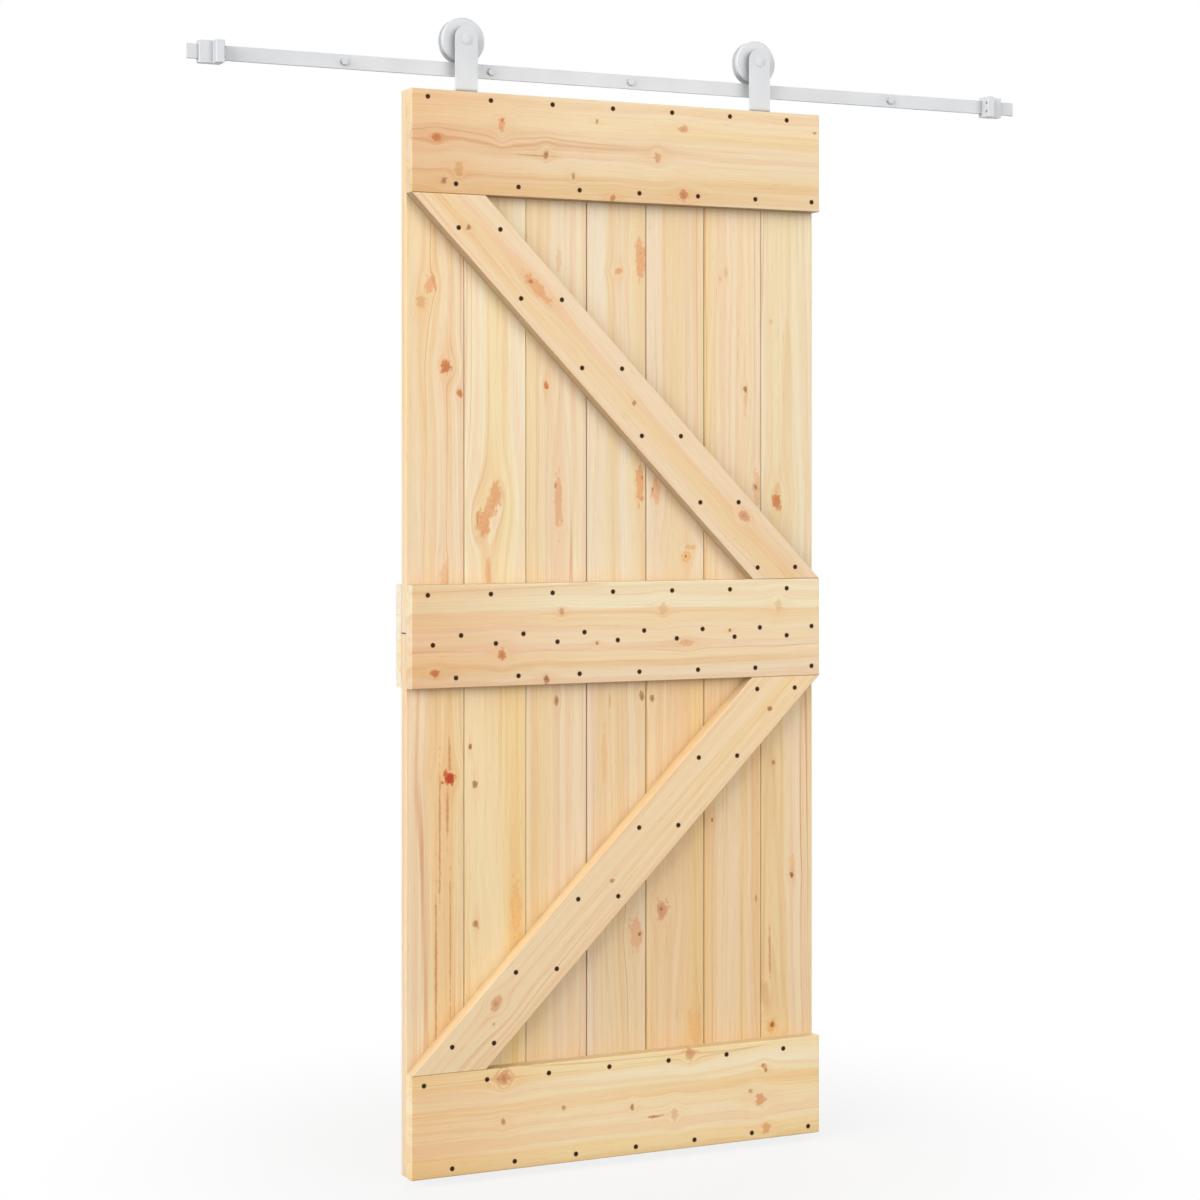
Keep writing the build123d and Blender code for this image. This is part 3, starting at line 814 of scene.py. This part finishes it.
def cross_cut(piece, arm, width, depth, front):
    """Cuts a cross recess into the face of a head that looks to -Y."""
    for size in ((arm, depth * 2, width), (width, depth * 2, arm)):
        bpy.ops.object.select_all(action="DESELECT")
        bpy.ops.mesh.primitive_cube_add(size=1, location=(0, front, 0), scale=size)
        bar = bpy.context.object
        only(piece)
        cut = piece.modifiers.new("cross", "BOOLEAN")
        cut.operation = "DIFFERENCE"
        cut.solver = "EXACT"
        cut.object = bar
        bpy.ops.object.modifier_apply(modifier=cut.name)
        only(bar)
        bpy.ops.object.delete()
    return only(piece)


def start_head(sides, radius, height, turn):
    """A cylinder of the head's size at the origin, in edit mode."""
    bpy.ops.object.select_all(action="DESELECT")
    bpy.ops.mesh.primitive_cylinder_add(
        vertices=sides, radius=radius, depth=height, rotation=turn)
    piece = bpy.context.object
    bpy.ops.object.transform_apply(location=True, rotation=True, scale=True)
    bpy.ops.object.mode_set(mode="EDIT")
    return piece


to_front = (math.radians(90), 0, 0)
to_side = (0, math.radians(-90), 0)
print("tools for the screw heads ready")

# %% One screw head
head_radius = 0.00397
head_height = 0.0027
head = start_head(14, head_radius, head_height, to_front)
pick_faces(head, lambda face: face.normal.y < -0.9)
bpy.ops.mesh.inset(thickness=0.0006, depth=0)
bpy.ops.transform.translate(value=(0, 0.0002, 0))
bpy.ops.object.mode_set(mode="OBJECT")
cross_cut(head, arm=0.0046, width=0.0011, depth=0.0009, front=-head_height / 2)
head.data.materials.append(blackened)
print("screw head with", len(head.data.polygons), "faces")

# %% Screws along the rails
def set_screws(name, master, spots, turns, body):
    """Copies the master to each spot, turned about Y, and joins the copies to one piece."""
    copies = []
    for spot, turn in zip(spots, turns):
        only(master)
        bpy.ops.object.duplicate(linked=False)
        bpy.ops.transform.translate(value=spot)
        bpy.ops.transform.rotate(value=turn, orient_axis="Y", center_override=spot)
        copies.append(bpy.context.object)
    for copy in copies:
        copy.select_set(True)
    bpy.context.view_layer.objects.active = copies[0]
    bpy.ops.object.join()
    piece = bpy.context.object
    piece.name = name
    bpy.ops.object.transform_apply(location=True, rotation=True, scale=True)
    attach(piece, body)
    print(name, len(spots), "screws,", len(piece.data.polygons), "faces")
    return piece


def turns_for(count, first):
    """A turn for each screw, up to 0.8 radians either way."""
    return [0.8 * math.sin(12.9 * (first + k)) for k in range(count)]


sink_floor = -0.095
head_y = sink_floor - head_height / 2
for timber, rows in row_plan.items():
    name = timber + "_screws"
    spots = []
    for down, start, shift in rows:
        for k in range(screws_per_row):
            last = k == screws_per_row - 1
            x, z = on_leaf(start + (0 if last else shift), down)
            spots.append((x + k * board_step, head_y, z))
    set_screws(name, head, spots, turns_for(len(spots), len(name)), "door")

# %% Screws along the braces
for timber, (high, low, lean, mid_z, rise) in brace_plan.items():
    name = timber + "_screws"
    spots = []
    for k in range(pairs_per_brace):
        z = high + (low - high) * k / (pairs_per_brace - 1)
        x = braces_middle + 2 * lean * (z - mid_z) / rise
        spots += [(x - pair_half, head_y, z), (x + pair_half, head_y, z)]
    set_screws(name, head, spots, turns_for(len(spots), len(name) + 3), "door")
only(head)
bpy.ops.object.delete()

# %% [markdown]
# ## Screws on the hanger feet
# Each strap is bent back over the leaf's top and screwed down there with two round-headed
# screws. The head is a cylinder with its upper edge bevelled to a low dome and a cross
# recess. It is made facing the front and then turned up, so the same cross cut serves.

# %% One round head
round_height = 0.003
round_head = start_head(20, 0.0045, round_height, to_front)
pick_faces(round_head, lambda face: face.normal.y < -0.9)
bpy.ops.mesh.bevel(offset=0.0016, segments=3, affect="EDGES")
bpy.ops.object.mode_set(mode="OBJECT")
cross_cut(round_head, arm=0.005, width=0.0011, depth=0.001, front=-round_height / 2)
bpy.ops.transform.rotate(value=math.radians(90), orient_axis="X", center_override=(0, 0, 0))
bpy.ops.object.transform_apply(location=True, rotation=True, scale=True)
round_head.data.materials.append(fastener_coat)
print("round head with", len(round_head.data.polygons), "faces")

# %% Foot screws
strap_thickness = 0.006
foot_screw_y = -0.055
foot_half_pitch = 0.013
foot_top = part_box("left_hanger_strap")[0].z + strap_thickness
for side in ("left", "right"):
    lo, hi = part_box(side + "_hanger_strap")
    mid_x = (lo.x + hi.x) / 2
    spots = [(mid_x + way * foot_half_pitch, foot_screw_y, foot_top + round_height / 2)
             for way in (-1, 1)]
    set_screws(side + "_foot_screws", round_head, spots, (0, 0), "door")
only(round_head)
bpy.ops.object.delete()

# %% [markdown]
# ## Clamp screws in the stops
# Two small screws clamp each stop to the bar. Their low heads stand out of the lug on the side
# that the door comes from. A short cylinder gets its outer edge bevelled to a low dome, and
# the middle of its face is inset and pushed in for the key.

# %% One clamp screw
clamp_height = 0.0018
clamp = start_head(16, 0.0026, clamp_height, to_side)
pick_faces(clamp, lambda face: face.normal.x < -0.9)
bpy.ops.mesh.bevel(offset=0.0007, segments=2, affect="EDGES")
pick_faces(clamp, lambda face: face.normal.x < -0.99)
bpy.ops.mesh.inset(thickness=0.0007, depth=0)
bpy.ops.mesh.extrude_region_move(TRANSFORM_OT_translate={"value": (0.0008, 0, 0)})
bpy.ops.object.mode_set(mode="OBJECT")
clamp.data.materials.append(powder_coat("zinc_clamp_screw", (158, 162, 168), 0.05))
print("clamp screw with", len(clamp.data.polygons), "faces")

# %% Clamp screws of both stops
clamp_y = -0.065
clamp_levels = (0.008, -0.010)
for side, sign in (("left", -1), ("right", 1)):
    lo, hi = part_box(side + "_end_stop")
    face_x = lo.x if sign > 0 else hi.x
    only(clamp)
    bpy.ops.object.duplicate(linked=False)
    facing_door = bpy.context.object
    if sign < 0:
        bpy.ops.transform.rotate(value=math.pi, orient_axis="Z", center_override=(0, 0, 0))
        bpy.ops.object.transform_apply(location=True, rotation=True, scale=True)
    spots = [(face_x - sign * clamp_height / 2, clamp_y, z) for z in clamp_levels]
    set_screws(side + "_stop_screws", facing_door, spots, (0, 0), "track")
    only(facing_door)
    bpy.ops.object.delete()
only(clamp)
bpy.ops.object.delete()
